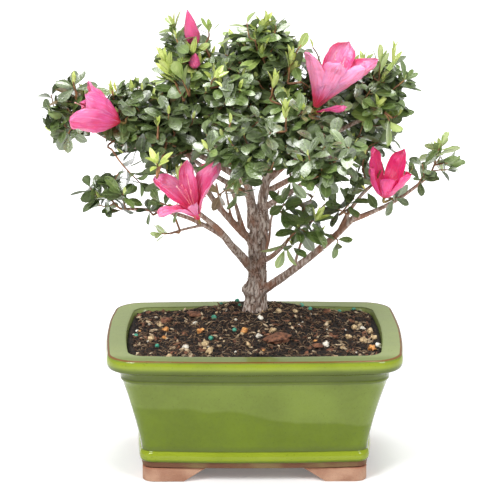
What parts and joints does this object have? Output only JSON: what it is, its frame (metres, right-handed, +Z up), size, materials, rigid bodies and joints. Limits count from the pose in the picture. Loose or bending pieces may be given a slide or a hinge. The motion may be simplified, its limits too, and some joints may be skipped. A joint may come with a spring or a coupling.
{
  "type": "azalea bonsai in a glazed pot",
  "caption": "Flowering dwarf azalea trained as a small tree, rooted in soil in a rectangular glazed ceramic pot on bracket feet",
  "frame": {"origin": "On the ground under the middle of the whole plant and pot, level with the undersides of the pot's feet", "axes": "+Z up; the pot's front, the side the plant is viewed from, faces -Y; +X to the viewer's right"},
  "size_m": [0.3032, 0.2142, 0.3281],
  "materials": {
    "pot_glaze": "glossy transparent olive and lime green glaze, breaking to a thin brown line along the rim",
    "bare_clay": "unglazed terracotta, matt and slightly grainy",
    "soil": "dark moist potting mix of peat and bark fibres with grit, perlite and feed pellets",
    "bark": "thin grey-brown bark with reddish peeled streaks",
    "foliage": "small leathery leaves, dark green above and paler below, with fresh yellow-green shoots",
    "blossom": "thin satin petals, bright pink with a crimson freckled throat"
  },
  "bodies": {
    "root": {"bough_back": "bark", "bough_back_left": "bark", "bough_back_right": "bark", "bough_back_top": "bark", "bough_centre": "bark", "bough_centre_low": "bark", "bough_front": "bark", "bough_left_far": "bark", "bough_left_high": "bark", "bough_left_low": "bark", "bough_left_mid": "bark", "bough_left_tip": "bark", "bough_right_front": "bark", "bough_right_high": "bark", "bough_right_low": "bark", "bough_right_mid": "bark", "bough_right_tip": "bark", "bough_top_left": "bark", "bough_top_right": "bark", "foliage_back": "foliage", "foliage_back_left": "foliage", "foliage_back_right": "foliage", "foliage_back_top": "foliage", "foliage_centre": "foliage", "foliage_front": "foliage", "foliage_left_front": "foliage", "foliage_left_low": "foliage", "foliage_left_mid": "foliage", "foliage_left_tip": "foliage", "foliage_left_upper": "foliage", "foliage_right_centre": "foliage", "foliage_right_front": "foliage", "foliage_right_low": "foliage", "foliage_right_mid": "foliage", "foliage_right_tip": "foliage", "foliage_right_upper": "foliage", "foliage_top": "foliage", "foliage_top_left": "foliage", "foliage_top_right": "foliage", "foot_back_left": "bare_clay", "foot_back_right": "bare_clay", "foot_front_left": "bare_clay", "foot_front_right": "bare_clay", "leader_left": "bark", "leader_right": "bark", "pot": "pot_glaze", "soil": "soil", "trunk": "bark"}
  },
  "joints": []
}
